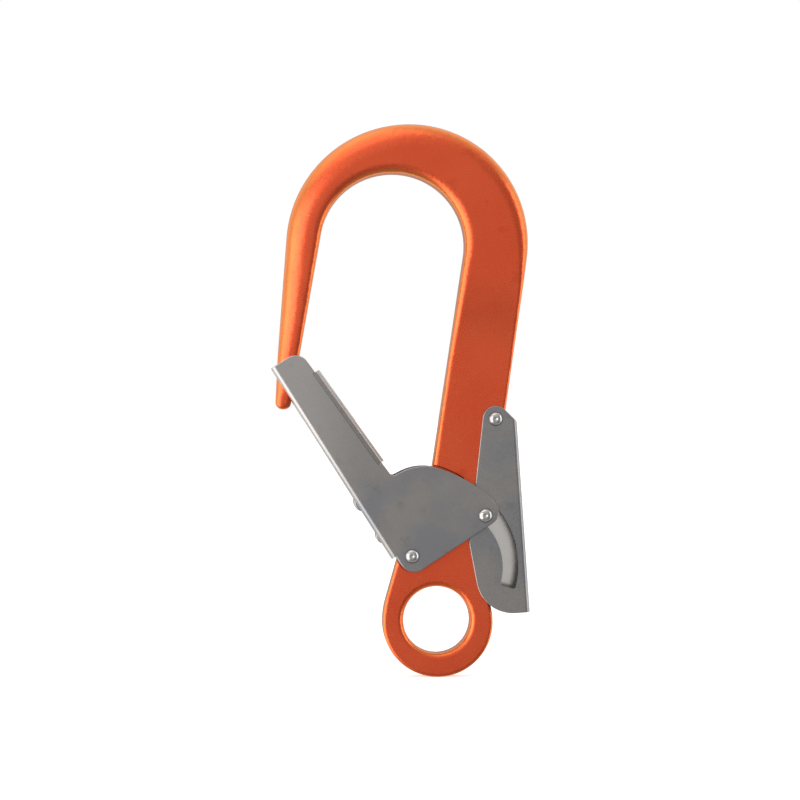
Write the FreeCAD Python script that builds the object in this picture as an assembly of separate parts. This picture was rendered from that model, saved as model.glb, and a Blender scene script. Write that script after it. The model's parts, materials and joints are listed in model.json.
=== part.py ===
import FreeCAD, Part
import math
import os

# A large aluminium scaffold hook with a sheet-steel snap gate and a squeeze lock lever.
#
# Frame, in millimetres: the origin is the centre of the attachment eye, in the hook's mid-plane.
# +Z points from the eye to the top of the bow, +X to the right when the front is seen, and the front
# faces -Y. Outlines are (x, z) points in the hook's own plane, and thicknesses run along Y.

Vector = FreeCAD.Vector
ACROSS = Vector(0, 1, 0)

# Eye and lower body
EYE_R = 14.45
EYE_ROUND = 2.6
RING_CENTRE = (0.46, -0.87)
RING_R = 23.9
FLANK_R = 35.0
FLANK_LEAN = 15.8
EYE_SHOULDER_ANGLE = 12.0

# Bow: an inner circle, and two outer circles that meet at the top
BOW_INNER_CENTRE = (-19.12, 162.2)
BOW_INNER_R = 31.4
BOW_OUTER_X = -11.59
BOW_TOP_Z = 215.19
BOW_RIGHT_R = 51.24
BOW_LEFT_R = 53.6
SHANK_INNER_LEAN = 8.55
SHANK_OUTER_LEAN = 8.0
LIMB_OUTER_LEAN = 4.25
LIMB_INNER_LEAN = 10.0

# Nose
LIMB_KNEE_Z = 114.4
NOSE_OUTER = (-69.8, 94.4)
NOSE_BOTTOM_Z = 91.2
NOSE_ROUND = 3.1

# Thickness of the forging: half-widths along Y, and the height where one runs into the other
SHANK_HALF = 6.0
LIMB_HALF = 7.0
BOW_HALF = 8.0
SWELL_FROM_Z = 116.0
LIMB_SWELL_FROM_Z = 102.0
SWELL_TO_Z = 150.0
MOUTH_MIDDLE_X = -30.0

# Edge rounding of the forging, as its reach across the hook's face. The edges are rounded as ellipses,
# wider across the face than through the thickness by ROUND_STRETCH, and change evenly from point to point.
ROUND_STRETCH = 1.4
EDGE_PLAIN = 1.65
# Shank's outside: half way up the swell, and at its top
EDGE_OUTER_SWELL = (1.9, 3.0)
# Bow's outside: foot on the shank's side, halfway round, top, foot on the limb's side
EDGE_OUTER_BOW = (4.2, 8.2, 10.6, 9.6)
# Limb's outside: top of the swell, its middle, the knee, its foot
EDGE_OUTER_LIMB = (8.9, 7.4, 6.2, 4.8)
# Nose: its outer and its inner corner
EDGE_NOSE = (3.0, 2.4)
# Limb's inside: foot of the swell, its middle, its top
EDGE_INNER_LIMB = (2.4, 2.6, 3.2)
# Bow's inside: foot on the limb's side, top, part way down, foot on the shank's side
EDGE_INNER_BOW = (3.6, 4.6, 4.8, 4.0)
# Shank's inside: top of the swell, its middle, and all below it
EDGE_INNER_SWELL = (3.6, 3.0)
EDGE_SHANK_INNER = 2.35
BOW_OUTER_MIDDLE = 45.0
BOW_INNER_MIDDLE = 30.0

# How far a cut reaches past the face it opens, how far off the blank's own limits are, and the play
# between parts that never touch
PAST = 1.0
FAR = 120.0
CLEARANCE = 0.1

# Pivots and the lock stud
GATE_PIVOT = (-10.81, 27.84)
LEVER_PIVOT = (25.47, 87.13)
STUD_R_FROM_PIVOT = 36.28
STUD_ANGLE = 28.9
STUD_NECK_R = 1.5
STUD_BODY_R = 2.3
STUD_BODY_HALF = 5.6

# Body shapes behind the sheet parts
BODY_EDGE_R = 33.4
STOP_PLAY = 0.3
STOP_ANGLE = STUD_ANGLE + math.degrees(math.asin(STUD_BODY_R / STUD_R_FROM_PIVOT)) + STOP_PLAY
LUG_BACK_ANGLE = 60.0
GATE_POCKET_R = 40.3
GATE_POCKET_ANGLE = 54.8
GATE_POCKET_END = 150.0
GATE_POCKET_HALF = 4.8
GATE_POCKET_CORNER = 1.5
POCKET_EDGE = 0.4
POCKET_EDGE_END = 100.0
HEEL_ROUND = 3.0
STOP_ROUND = 1.2
STOP_TIP_ROUND = 2.5
WAIST_ROUND = 12.0

# Sheet steel
SHEET = 1.5
SHEET_EDGE = 0.4
GATE_HALF = 9.5
GATE_BEND_R = 2.2
LEVER_HALF = 7.75
LEVER_BEND_R = 2.0

# Gate: the arm's direction, its outline, the web's line and the bent-in lips. Pairs are (u, v): u along
# the arm from the pivot, v towards the mouth. HUMP's corners are (x, z, radius).
ARM_ANGLE = 122.4
ARM_LENGTH = 101.0
ARM_TIP_ANGLE = 34.4
ARM_TIP_ROUND = 6.2
ARM_INNER_EDGE = ((89.8, 7.17), (37.87, 10.8))
VALLEY_LINE = ((-14.7, 64.7), 27.0)
VALLEY_ROUND = 1.8
HUMP = ((-7.2, 68.5, 22.0), (9.8, 62.7, 66.0), (21.7, 54.9, 24.0), (29.4, 45.5, 6.0))
FOOT_LINE = ((22.2, 40.8), 33.35)
FOOT_ROUND = 6.2
WEB_LINE_OFFSET = 5.9
WEB_START = 3.6
WEB_SIDE_V = -12.0
WINDOW_START = 84.0
WINDOW_LENGTH = 30.0
WINDOW_INNER = 0.5
LIP_R = 3.0
LIP_TOP = (-51.05, 108.4)
LIP_BOTTOM = (-23.0, 69.2)
GRIP_RIBS = ((31.0, 6.3, 1.3), (14.0, 5.2, 0.95))
GRIP_RIB_WIDTH = 11.0
GRIP_RIB_FOOT = 0.4
GRIP_RIB_EDGE = 0.7
GRIP_RIB_WALL = 0.8
GRIP_RIB_OUT = -20.0

# Lever: the directions its edges face, the top round, the heel round and the stud's slot
LEVER_LEFT_NORMAL = 173.7
LEVER_LOWER_NORMAL = 190.8
LEVER_SLOPE_NORMAL = 45.7
LEVER_BOTTOM_NORMAL = 273.8
LEVER_RIGHT_X = 45.0
LEVER_KNEE_ROUND = 8.0
LEVER_TOP_R = 5.65
LEVER_WEB_TOP = (32.7, 86.2)
LEVER_WEB_BOTTOM = (38.4, 3.6)
HEEL_CENTRE = (33.0, 19.0)
HEEL_R = 16.1
SLOT_OUTER = ((-2.33, 23.75), 37.7)
SLOT_INNER = ((2.0, 22.9), 26.5)
SLOT_BOTTOM_ANGLE = -16.0
SLOT_TOP_ANGLE = 46.2
SLOT_CORNER = 1.0

# Rivets, sleeves, bushes and washers
RIVET_R = 2.0
RIVET_HEAD_R = 3.0
RIVET_HEAD_H = 1.9
HEAD_RIM_H = 0.35
HEAD_SHOULDER = (0.78, 0.72)
DIMPLE_R = 0.75
DIMPLE_LIP = 0.08
DIMPLE_DEPTH = 0.5
FORMED_HEAD_H = 1.4
FORMED_HEAD_ROUND = 1.12
STUD_EDGE = 0.4
HEAD_RECESS_R = 3.4
HEAD_RECESS_DEPTH = 0.3
SLEEVE_R = 3.0
BUSH_R = 3.8
RUNNING = 0.05
RING_CHAMFER = 0.15
BOSS_R = 4.6
WASHER_R = 4.4
LEVER_WASHER_R = 4.5
LEVER_WASHER_FLOOR = 5.2
BACK_WASHER_FROM = 5.75
LEVER_BACK_WASHER_R = 5.2

# Springs: wire, coils and legs. The bends are a hair thicker than the wire.
BEND_EXTRA = 0.06
ANCHOR_CHANNEL = 4.0
GATE_WIRE_R = 0.6
GATE_COIL_R = 5.6
GATE_COIL_POCKET_R = 6.8
GATE_COIL_FLOOR = 3.3
GATE_COIL_TURNS = 2.5
ANCHOR_ANGLE = -20.0
ANCHOR_LENGTH = 13.0
BAIL_GAP = 0.3
BAIL_REACH = 22.0
BAIL_Y = 7.1
LEVER_WIRE_R = 0.45
LEVER_COIL_R = 4.5
LEVER_COIL_POCKET_R = 5.3
LEVER_COIL_FLOOR = 2.2
LEVER_COIL_TURNS = 2.5
LEVER_COIL_SPACING = 1.08
LEVER_LEG_ANGLE = 20.0
LEVER_LEG_LENGTH = 10.0
LEVER_ANCHOR_ANGLE = 180.0
LEVER_ANCHOR_LENGTH = 8.5


def polar(centre, radius, degrees):
    a = math.radians(degrees)
    return (centre[0] + radius * math.cos(a), centre[1] + radius * math.sin(a))


def unit(degrees):
    return polar((0.0, 0.0), 1.0, degrees)


def along(point, direction, distance):
    return (point[0] + direction[0] * distance, point[1] + direction[1] * distance)


def meet(p, d, q, e):
    """Where the line through p along d crosses the line through q along e."""
    cross = d[0] * e[1] - d[1] * e[0]
    t = ((q[0] - p[0]) * e[1] - (q[1] - p[1]) * e[0]) / cross
    return along(p, d, t)


def at_height(p, d, z):
    """The point of the line through p along d at height z."""
    return along(p, d, (z - p[1]) / d[1])


def onto_circle(p, d, centre, radius):
    """The first point where the line from p along d reaches the circle."""
    px = p[0] - centre[0]
    pz = p[1] - centre[1]
    b = px * d[0] + pz * d[1]
    c = px * px + pz * pz - radius * radius
    return along(p, d, -b - math.sqrt(b * b - c))


def tangent_corner(centre, radius, first, second):
    """Where the circle's tangents, whose normals point at these two angles, cross."""
    half = math.radians((second - first) / 2)
    return polar(centre, radius / math.cos(half), (first + second) / 2)


def angle_of(centre, point):
    return math.degrees(math.atan2(point[1] - centre[1], point[0] - centre[0]))


def at(point, y=0.0):
    return Vector(point[0], y, point[1])


class Outline:
    """A closed outline in the hook's plane, from lines and arcs."""

    def __init__(self, start):
        self.start = start
        self.point = start
        self.edges = []

    def line(self, point):
        self.edges.append(Part.LineSegment(at(self.point), at(point)).toShape())
        self.point = point
        return self

    def arc(self, centre, radius, first, last):
        """An arc from angle first to angle last, with a line to its start where there is a gap."""
        begin = polar(centre, radius, first)
        if math.dist(begin, self.point) > 1e-6:
            self.line(begin)
        end = polar(centre, radius, last)
        middle = polar(centre, radius, (first + last) / 2)
        self.edges.append(Part.Arc(at(self.point), at(middle), at(end)).toShape())
        self.point = end
        return self

    def prism(self, half, low=None):
        """The solid from y = low (or -half) to y = half."""
        if math.dist(self.point, self.start) > 1e-6:
            self.line(self.start)
        bottom = -half if low is None else low
        face = Part.Face(Part.Wire(self.edges))
        solid = face.extrude(ACROSS * (half - bottom))
        return solid.translated(Vector(0, bottom, 0))


def rounded_outline(corners):
    """An outline from (x, z, radius) corners, each rounded by an arc of its radius."""
    count = len(corners)
    outline = None
    for i, (x, z, radius) in enumerate(corners):
        here = (x, z)
        arms = []
        for j in (i - 1, (i + 1) % count):
            length = math.dist(here, corners[j][:2])
            arms.append(((corners[j][0] - x) / length, (corners[j][1] - z) / length))
        if radius == 0:
            outline = outline.line(here) if outline else Outline(here)
            continue
        half = math.acos(arms[0][0] * arms[1][0] + arms[0][1] * arms[1][1]) / 2
        reach = radius / math.tan(half)
        bisector = (arms[0][0] + arms[1][0], arms[0][1] + arms[1][1])
        scale = radius / math.sin(half) / math.hypot(*bisector)
        centre = along(here, bisector, scale)
        first = angle_of(centre, along(here, arms[0], reach))
        last = angle_of(centre, along(here, arms[1], reach))
        turn = (last - first + 180) % 360 - 180
        if outline is None:
            outline = Outline(polar(centre, radius, first))
        outline.arc(centre, radius, first, first + turn)
    return outline


def cylinder(centre, radius, low, high):
    return Part.makeCylinder(radius, high - low, at(centre, low), ACROSS)


def ring(centre, outer, inner, low, high):
    return cylinder(centre, outer, low, high).cut(cylinder(centre, inner, low, high))


def cross_edges(shape, points):
    """The shape's straight edges across the hook (along Y) at these (x, z) points."""
    found = []
    for edge in shape.Edges:
        ends = [v.Point for v in edge.Vertexes]
        if len(ends) != 2 or abs(ends[0].x - ends[1].x) + abs(ends[0].z - ends[1].z) > 1e-4:
            continue
        if any(math.dist((ends[0].x, ends[0].z), p) < 0.05 for p in points):
            found.append(edge)
    return found


def face_edges(shape, y):
    """The edges that lie in the plane y, apart from those where a bend starts smoothly."""
    found = []
    for edge in shape.Edges:
        if all(abs(v.Y - y) < 1e-4 for v in edge.Vertexes) and abs(edge.CenterOfMass.y - y) < 1e-4:
            found.append(edge)
    return found


# ---------------------------------------------------------------- hook body

def body_outline():
    """The forging's outline as (outline, edge radius at each joint, corner radius at some joints)."""
    radii = []

    def joint(point, radius):
        radii.append((point, radius))
        return point

    bow_right = (BOW_OUTER_X, BOW_TOP_Z - BOW_RIGHT_R)
    bow_left = (BOW_OUTER_X, BOW_TOP_Z - BOW_LEFT_R)
    shank_in = unit(-90 - SHANK_INNER_LEAN)
    shank_out = unit(90 - SHANK_OUTER_LEAN)
    limb_out = unit(-90 - LIMB_OUTER_LEAN)
    limb_in = unit(90 - LIMB_INNER_LEAN)

    flank_centre = (RING_CENTRE[0] - RING_R + FLANK_R, RING_CENTRE[1])
    flank_top = polar(flank_centre, FLANK_R, 180 - FLANK_LEAN)
    normal = unit(180 - FLANK_LEAN)
    lug_r = (flank_top[0] - GATE_PIVOT[0]) * normal[0] + (flank_top[1] - GATE_PIVOT[1]) * normal[1]
    lug_back = polar(GATE_PIVOT, lug_r, 90 + LUG_BACK_ANGLE)
    shank_top = polar(BOW_INNER_CENTRE, BOW_INNER_R, -SHANK_INNER_LEAN)
    waist = meet(lug_back, unit(LUG_BACK_ANGLE), shank_top, shank_in)

    shoulder = polar(RING_CENTRE, RING_R, EYE_SHOULDER_ANGLE)
    heel = onto_circle(shoulder, unit(90 + EYE_SHOULDER_ANGLE), GATE_PIVOT, BODY_EDGE_R)
    stop = polar(GATE_PIVOT, BODY_EDGE_R, STOP_ANGLE)
    outer_top = polar(bow_right, BOW_RIGHT_R, -SHANK_OUTER_LEAN)
    stop_tip = meet(stop, unit(STOP_ANGLE), outer_top, shank_out)

    limb_top = polar(bow_left, BOW_LEFT_R, 180 - LIMB_OUTER_LEAN)
    knee = at_height(limb_top, limb_out, LIMB_KNEE_Z)
    limb_inner = polar(BOW_INNER_CENTRE, BOW_INNER_R, 180 - LIMB_INNER_LEAN)
    nose_in = at_height(limb_inner, limb_in, NOSE_BOTTOM_Z)
    nose_way = (NOSE_OUTER[0] - knee[0], NOSE_OUTER[1] - knee[1])
    nose_out = at_height(knee, nose_way, NOSE_BOTTOM_Z)

    o = Outline(joint(polar(RING_CENTRE, RING_R, 180), EDGE_PLAIN))
    o.arc(RING_CENTRE, RING_R, 180, 360 + EYE_SHOULDER_ANGLE)
    joint(shoulder, EDGE_PLAIN)
    o.line(heel)
    joint(heel, EDGE_PLAIN)
    o.arc(GATE_PIVOT, BODY_EDGE_R, angle_of(GATE_PIVOT, heel), STOP_ANGLE)
    joint(stop, EDGE_PLAIN)
    o.line(joint(stop_tip, EDGE_PLAIN))
    o.line(joint(at_height(outer_top, shank_out, SWELL_FROM_Z), EDGE_PLAIN))
    middle_z = (SWELL_FROM_Z + SWELL_TO_Z) / 2
    o.line(joint(at_height(outer_top, shank_out, middle_z), EDGE_OUTER_SWELL[0]))
    o.line(joint(at_height(outer_top, shank_out, SWELL_TO_Z), EDGE_OUTER_SWELL[1]))
    o.line(joint(outer_top, EDGE_OUTER_BOW[0]))
    o.arc(bow_right, BOW_RIGHT_R, -SHANK_OUTER_LEAN, BOW_OUTER_MIDDLE)
    joint(o.point, EDGE_OUTER_BOW[1])
    o.arc(bow_right, BOW_RIGHT_R, BOW_OUTER_MIDDLE, 90)
    joint(o.point, EDGE_OUTER_BOW[2])
    o.arc(bow_left, BOW_LEFT_R, 90, 180 - LIMB_OUTER_LEAN)
    joint(o.point, EDGE_OUTER_BOW[3])
    limb_middle_z = (LIMB_SWELL_FROM_Z + SWELL_TO_Z) / 2
    o.line(joint(at_height(limb_top, limb_out, SWELL_TO_Z), EDGE_OUTER_LIMB[0]))
    o.line(joint(at_height(limb_top, limb_out, limb_middle_z), EDGE_OUTER_LIMB[1]))
    o.line(joint(knee, EDGE_OUTER_LIMB[2]))
    o.line(joint(at_height(knee, nose_way, LIMB_SWELL_FROM_Z), EDGE_OUTER_LIMB[3]))
    o.line(joint(nose_out, EDGE_NOSE[0]))
    o.line(joint(nose_in, EDGE_NOSE[1]))
    o.line(joint(at_height(limb_inner, limb_in, LIMB_SWELL_FROM_Z), EDGE_INNER_LIMB[0]))
    o.line(joint(at_height(limb_inner, limb_in, limb_middle_z), EDGE_INNER_LIMB[1]))
    o.line(joint(at_height(limb_inner, limb_in, SWELL_TO_Z), EDGE_INNER_LIMB[2]))
    o.line(joint(limb_inner, EDGE_INNER_BOW[0]))
    o.arc(BOW_INNER_CENTRE, BOW_INNER_R, 180 - LIMB_INNER_LEAN, 90)
    joint(o.point, EDGE_INNER_BOW[1])
    o.arc(BOW_INNER_CENTRE, BOW_INNER_R, 90, BOW_INNER_MIDDLE)
    joint(o.point, EDGE_INNER_BOW[2])
    o.arc(BOW_INNER_CENTRE, BOW_INNER_R, BOW_INNER_MIDDLE, -SHANK_INNER_LEAN)
    joint(o.point, EDGE_INNER_BOW[3])
    o.line(joint(at_height(shank_top, shank_in, SWELL_TO_Z), EDGE_INNER_SWELL[0]))
    o.line(joint(at_height(shank_top, shank_in, middle_z), EDGE_INNER_SWELL[1]))
    o.line(joint(at_height(shank_top, shank_in, SWELL_FROM_Z), EDGE_SHANK_INNER))
    o.line(joint(waist, EDGE_SHANK_INNER))
    o.line(joint(lug_back, EDGE_PLAIN))
    o.arc(GATE_PIVOT, lug_r, 90 + LUG_BACK_ANGLE, 180 - FLANK_LEAN)
    joint(o.point, EDGE_PLAIN)
    o.line(joint(flank_top, EDGE_PLAIN))
    o.arc(flank_centre, FLANK_R, 180 - FLANK_LEAN, 180)
    rounding = {
        heel: HEEL_ROUND,
        stop: STOP_ROUND,
        stop_tip: STOP_TIP_ROUND,
        nose_out: NOSE_ROUND,
        nose_in: NOSE_ROUND,
        waist: WAIST_ROUND,
    }
    return o, radii, rounding


def thickness_profile(low_half, from_z, left, right):
    """Between two x: the forging's side view, plain below from_z, thick round the bow, a soft S between."""
    low_half *= ROUND_STRETCH
    high_half = BOW_HALF * ROUND_STRETCH
    middle_z = (from_z + SWELL_TO_Z) / 2
    step = (high_half - low_half) / 2
    run = (SWELL_TO_Z - from_z) / 2
    radius = (run * run + step * step) / (2 * step)
    sag = math.atan2(run, radius - step) / 2
    rise = radius * (1 - math.cos(sag))
    reach = radius * math.sin(sag)
    bottom = -FAR
    top = 2 * FAR

    def side(y, z):
        return Vector(left, y, z)

    edges = []
    for sign in (-1, 1):
        low = side(sign * low_half, from_z)
        mid = side(sign * (low_half + step), middle_z)
        high = side(sign * high_half, SWELL_TO_Z)
        lower_mid = side(sign * (low_half + rise), from_z + reach)
        upper_mid = side(sign * (high_half - rise), SWELL_TO_Z - reach)
        edges.append(Part.LineSegment(side(sign * low_half, bottom), low).toShape())
        edges.append(Part.Arc(low, lower_mid, mid).toShape())
        edges.append(Part.Arc(mid, upper_mid, high).toShape())
        edges.append(Part.LineSegment(high, side(sign * high_half, top)).toShape())
    edges.append(Part.LineSegment(side(-low_half, bottom), side(low_half, bottom)).toShape())
    edges.append(Part.LineSegment(side(-high_half, top), side(high_half, top)).toShape())
    wire = Part.Wire(Part.__sortEdges__(edges))
    return Part.Face(wire).extrude(Vector(right - left, 0, 0))


def swell():
    """Everything inside the forging's thickness: the shank's side and the limb's side of the mouth."""
    shank = thickness_profile(SHANK_HALF, SWELL_FROM_Z, MOUTH_MIDDLE_X, FAR)
    limb = thickness_profile(LIMB_HALF, LIMB_SWELL_FROM_Z, -FAR, MOUTH_MIDDLE_X)
    return shank.fuse(limb).removeSplitter()


def forged_blank():
    """The forging before machining, with every outside edge rounded."""
    outline, radii, rounding = body_outline()
    blank = outline.prism((BOW_HALF + PAST) * ROUND_STRETCH)
    for corner, radius in rounding.items():
        blank = blank.makeFillet(radius, cross_edges(blank, [corner]))
    blank = blank.common(swell())

    # radii are given along each rim, whose direction is that of its first edge
    def nearest_joint(point):
        return min(range(len(radii)), key=lambda i: math.dist(radii[i][0], (point.x, point.z)))

    document = FreeCAD.newDocument("forging")
    base = document.addObject("Part::Feature", "base")
    base.Shape = blank
    fillet = document.addObject("Part::Fillet", "rounded")
    fillet.Base = base
    picked = []
    forward = {}
    for index, edge in enumerate(blank.Edges, 1):
        ends = [edge.valueAt(edge.FirstParameter), edge.valueAt(edge.LastParameter)]
        joints = [nearest_joint(point) for point in ends]
        step = (joints[1] - joints[0]) % len(radii)
        on_face = min(abs(point.y) for point in ends) > SHANK_HALF * ROUND_STRETCH - 0.01
        across = abs(ends[0].y - ends[1].y) > 2 * SHANK_HALF
        if not on_face or across or step not in (0, 1, len(radii) - 1):
            continue
        if step:
            front = ends[0].y < 0
            forward.setdefault(front, step)
            if step != forward[front]:
                joints.reverse()
        picked.append((index, radii[joints[0]][1], radii[joints[1]][1]))
    fillet.Edges = picked
    document.recompute()
    squeeze = FreeCAD.Matrix()
    squeeze.scale(1, 1 / ROUND_STRETCH, 1)
    forging = fillet.Shape.transformGeometry(squeeze).Solids[0]
    forging.fix(1e-4, 1e-4, 1e-3)
    return forging


def slot_box(start, degrees, length, width, low, high):
    """A straight channel from a point in a direction, with a round far end."""
    box = Part.makeBox(length, high - low, width, Vector(0, low, -width / 2))
    box.rotate(Vector(0, 0, 0), ACROSS, -degrees)
    return box.translated(at(start)).fuse(cylinder(along(start, unit(degrees), length), width / 2, low, high))


def gate_pocket(side):
    """The shallow step in the face that the gate's springs and plates turn in."""
    o = Outline(polar(GATE_PIVOT, GATE_COIL_POCKET_R, GATE_POCKET_ANGLE))
    o.line(polar(GATE_PIVOT, GATE_POCKET_R, GATE_POCKET_ANGLE))
    o.arc(GATE_PIVOT, GATE_POCKET_R, GATE_POCKET_ANGLE, GATE_POCKET_END)
    o.line(polar(GATE_PIVOT, GATE_COIL_POCKET_R, GATE_POCKET_END))
    low, high = sorted((side * GATE_POCKET_HALF, side * (SHANK_HALF + PAST)))
    pocket = o.prism(high, low)
    corner = polar(GATE_PIVOT, GATE_POCKET_R, GATE_POCKET_ANGLE)
    return pocket.makeFillet(GATE_POCKET_CORNER, cross_edges(pocket, [corner]))


def coil_pocket(side):
    """The deeper ring round the gate's pivot, with a channel that holds the spring's anchor leg."""
    low, high = sorted((side * GATE_COIL_FLOOR, side * (SHANK_HALF + PAST)))
    pocket = ring(GATE_PIVOT, GATE_COIL_POCKET_R, BOSS_R, low, high)
    start = polar(GATE_PIVOT, GATE_COIL_R, ANCHOR_ANGLE)
    groove = slot_box(start, ANCHOR_ANGLE + 90, ANCHOR_LENGTH, ANCHOR_CHANNEL * GATE_WIRE_R, low, high)
    return pocket.fuse(groove)


def hook_body():
    through = (-SHANK_HALF - PAST, SHANK_HALF + PAST)
    body = forged_blank().cut(cylinder((0.0, 0.0), EYE_R, *through))
    rims = [e for y in (-SHANK_HALF, SHANK_HALF) for e in face_edges(body, y) if on_eye_rim(e)]
    body = body.makeFillet(EYE_ROUND, rims)
    pockets = [gate_pocket(side) for side in (-1, 1)]
    body = body.cut(pockets[0]).cut(pockets[1])
    steps = [e for y in (-SHANK_HALF, SHANK_HALF) for e in face_edges(body, y) if on_pocket_step(e)]
    body = body.makeFillet(POCKET_EDGE, steps)
    for side in (-1, 1):
        body = body.cut(coil_pocket(side))
    for pivot in (GATE_PIVOT, LEVER_PIVOT):
        body = body.cut(cylinder(pivot, BUSH_R, *through))
    body = body.cut(cylinder(LEVER_PIVOT, LEVER_WASHER_R + CLEARANCE, through[0], -LEVER_WASHER_FLOOR))
    body = body.cut(cylinder(LEVER_PIVOT, LEVER_COIL_POCKET_R, LEVER_COIL_FLOOR, through[1]))
    leg = polar(LEVER_PIVOT, LEVER_COIL_R, LEVER_ANCHOR_ANGLE)
    width = ANCHOR_CHANNEL * LEVER_WIRE_R
    down = LEVER_ANCHOR_ANGLE + 90
    return body.cut(slot_box(leg, down, LEVER_ANCHOR_LENGTH, width, LEVER_COIL_FLOOR, through[1]))


def on_eye_rim(edge):
    """True for the edge pieces round the mouth of the eye's bore."""
    ends = [edge.valueAt(edge.FirstParameter), edge.valueAt(edge.LastParameter)]
    return all(abs(math.hypot(point.x, point.z) - EYE_R) < 0.01 for point in ends)


def on_pocket_step(edge):
    """True for the edge pieces where the gate pocket steps down from the face."""
    middle = edge.valueAt((edge.FirstParameter + edge.LastParameter) / 2)
    reach = math.dist(GATE_PIVOT, (middle.x, middle.z))
    angle = angle_of(GATE_PIVOT, (middle.x, middle.z))
    on_arc = abs(reach - GATE_POCKET_R) < GATE_POCKET_CORNER / 2 and angle < POCKET_EDGE_END
    on_side = abs(angle - GATE_POCKET_ANGLE) < 0.5 and reach > GATE_COIL_POCKET_R + PAST
    return on_arc or on_side


# ---------------------------------------------------------------- folded sheet parts

def channel(start, direction, half, bend_r, leg):
    """A long U of sheet: two plates at +-half, joined by a web to the left of the line along direction."""
    outward = (-direction[1], direction[0])
    inner_r = bend_r - SHEET
    back = along(start, direction, -FAR)

    def point(out, y):
        return at(along(back, outward, out), y)

    def bend(centre_y, radius, sign):
        a = math.radians(45)
        middle = point(radius * math.sin(a), centre_y + sign * radius * math.cos(a))
        ends = (point(0, centre_y + sign * radius), point(radius, centre_y))
        return Part.Arc(ends[0], middle, ends[1]).toShape()

    def line(first, second):
        return Part.LineSegment(first, second).toShape()

    bend_y = half - bend_r
    edges = [line(point(bend_r, -bend_y), point(bend_r, bend_y))]
    edges.append(line(point(inner_r, -bend_y), point(inner_r, bend_y)))
    for sign in (-1, 1):
        edges.append(bend(sign * bend_y, bend_r, sign))
        edges.append(bend(sign * bend_y, inner_r, sign))
        edges.append(line(point(0, sign * half), point(-leg, sign * half)))
        edges.append(line(point(0, sign * (half - SHEET)), point(-leg, sign * (half - SHEET))))
        edges.append(line(point(-leg, sign * half), point(-leg, sign * (half - SHEET))))
    face = Part.Face(Part.Wire(Part.__sortEdges__(edges)))
    return face.extrude(at(direction) * 3 * FAR)


def soften(sheet, half):
    """The sheet with the outside cut edges of its two plates rounded a little."""
    edges = [e for y in (-half, half) for e in face_edges(sheet, y) if sharp(sheet, e)]
    return sheet.makeFillet(SHEET_EDGE, edges)


def sharp(shape, edge):
    """True where the two faces that share the edge meet at an angle."""
    faces = shape.ancestorsOfType(edge, Part.Face)
    middle = edge.valueAt((edge.FirstParameter + edge.LastParameter) / 2)
    normals = []
    for face in faces:
        u, v = face.Surface.parameter(middle)
        normals.append(face.normalAt(u, v))
    return len(normals) == 2 and abs(normals[0].dot(normals[1])) < 0.9


def arm_point(u, v):
    """A point of the gate from its distance u along the arm and v towards the hook's inside."""
    arm = unit(ARM_ANGLE)
    return along(along(GATE_PIVOT, arm, u), (arm[1], -arm[0]), v)


def lip_frame():
    length = math.dist(LIP_BOTTOM, LIP_TOP)
    direction = ((LIP_TOP[0] - LIP_BOTTOM[0]) / length, (LIP_TOP[1] - LIP_BOTTOM[1]) / length)
    return direction, (direction[1], -direction[0]), length


def gate_outline():
    _, lip_out, _ = lip_frame()
    lip_top = along(LIP_TOP, lip_out, -LIP_R)
    lip_bottom = along(LIP_BOTTOM, lip_out, -LIP_R)
    inner = [arm_point(*point) for point in ARM_INNER_EDGE]
    inner_dir = (inner[1][0] - inner[0][0], inner[1][1] - inner[0][1])
    tip = meet(arm_point(ARM_LENGTH, 0), unit(ARM_TIP_ANGLE), inner[0], inner_dir)
    valley = meet(inner[0], inner_dir, VALLEY_LINE[0], unit(VALLEY_LINE[1]))
    foot = meet(arm_point(0, -WEB_LINE_OFFSET), unit(ARM_ANGLE), FOOT_LINE[0], unit(FOOT_LINE[1]))
    corners = [
        (*arm_point(WEB_START, WEB_SIDE_V), 0),
        (*arm_point(ARM_LENGTH, WEB_SIDE_V), 0),
        (*tip, ARM_TIP_ROUND),
        (*meet(lip_top, lip_out, inner[0], inner_dir), 0),
        (*lip_top, 0),
        (*lip_bottom, 0),
        (*meet(lip_bottom, lip_out, inner[0], inner_dir), 0),
        (*valley, VALLEY_ROUND),
        *HUMP,
        (*foot, FOOT_ROUND),
        (*arm_point(WEB_START, -WEB_LINE_OFFSET), 0),
    ]
    return rounded_outline(corners)


def gate_lip(side):
    """The rolled-in edge that stiffens one plate of the arm and straddles the shank."""
    direction, out, length = lip_frame()
    centre = along(LIP_BOTTOM, out, -LIP_R)
    y = side * (GATE_HALF - LIP_R)
    inner_r = LIP_R - SHEET

    def point(radius, part):
        turn = math.radians(90 * part)
        return at(along(centre, out, radius * math.sin(turn)), y + side * radius * math.cos(turn))

    edges = [
        Part.Arc(point(LIP_R, 0), point(LIP_R, 0.5), point(LIP_R, 1)).toShape(),
        Part.LineSegment(point(LIP_R, 1), point(inner_r, 1)).toShape(),
        Part.Arc(point(inner_r, 1), point(inner_r, 0.5), point(inner_r, 0)).toShape(),
        Part.LineSegment(point(inner_r, 0), point(LIP_R, 0)).toShape(),
    ]
    return Part.Face(Part.Wire(edges)).extrude(at(direction) * length)


def arm_slab(u_low, u_high, v_low, v_high, half):
    """A block in the gate's own directions, from its limits along and across the arm."""
    o = Outline(arm_point(u_low, v_high))
    o.line(arm_point(u_low, v_low)).line(arm_point(u_high, v_low)).line(arm_point(u_high, v_high))
    return o.prism(half)


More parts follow.
